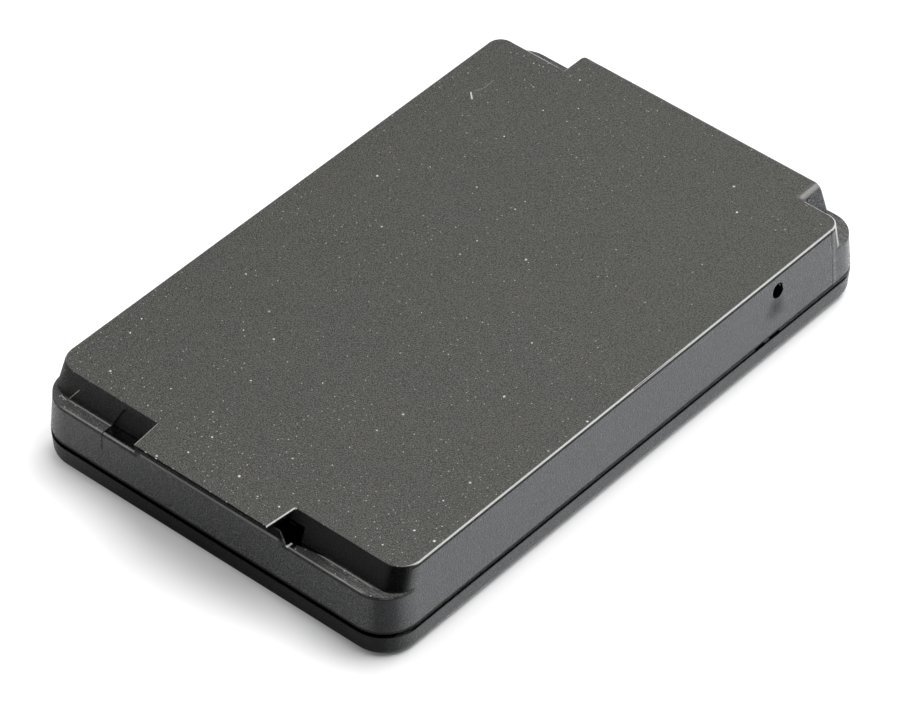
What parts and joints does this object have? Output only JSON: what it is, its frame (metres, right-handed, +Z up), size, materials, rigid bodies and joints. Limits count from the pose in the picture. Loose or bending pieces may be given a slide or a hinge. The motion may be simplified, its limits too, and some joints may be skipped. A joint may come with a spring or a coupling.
{
  "type": "clip-in battery pack",
  "caption": "Slim rectangular battery pack for a hand-held crane remote control, in a two-piece black plastic case with a latch lip at one end and a tongue at the other.",
  "frame": {"origin": "on the underside, below the middle of the whole box", "axes": "+X from the latch lip (front end) to the tongue (back end), +Z up out of the flat top, -Y the long side seen in the picture"},
  "size_m": [0.0955, 0.06, 0.0134],
  "materials": {
    "case_plastic": "black moulded plastic with a fine matt texture, dusty and lightly scuffed",
    "cell_sleeve": "thin green shrink sleeve, no print",
    "nickel_strip": "bare nickel-plated strip",
    "circuit_board": "green solder resist",
    "contact_plating": "gold-plated, lightly worn",
    "fuse_body": "off-white moulding",
    "sensor_resin": "dipped dark resin",
    "foam": "dark closed-cell foam"
  },
  "bodies": {
    "root": {"upper_case": "case_plastic", "lower_case": "case_plastic", "cell_1": "cell_sleeve", "cell_2": "cell_sleeve", "cell_3": "cell_sleeve", "cell_4": "cell_sleeve", "cell_5": "cell_sleeve", "cell_6": "cell_sleeve", "cell_link_1": "nickel_strip", "cell_link_2": "nickel_strip", "cell_link_3": "nickel_strip", "cell_link_4": "nickel_strip", "cell_link_5": "nickel_strip", "positive_lead": "nickel_strip", "negative_lead": "nickel_strip", "contact_board": "circuit_board", "contact_minus": "contact_plating", "contact_sense": "contact_plating", "contact_plus": "contact_plating", "thermal_fuse": "fuse_body", "thermistor": "sensor_resin", "foam_strip": "foam"}
  },
  "joints": []
}
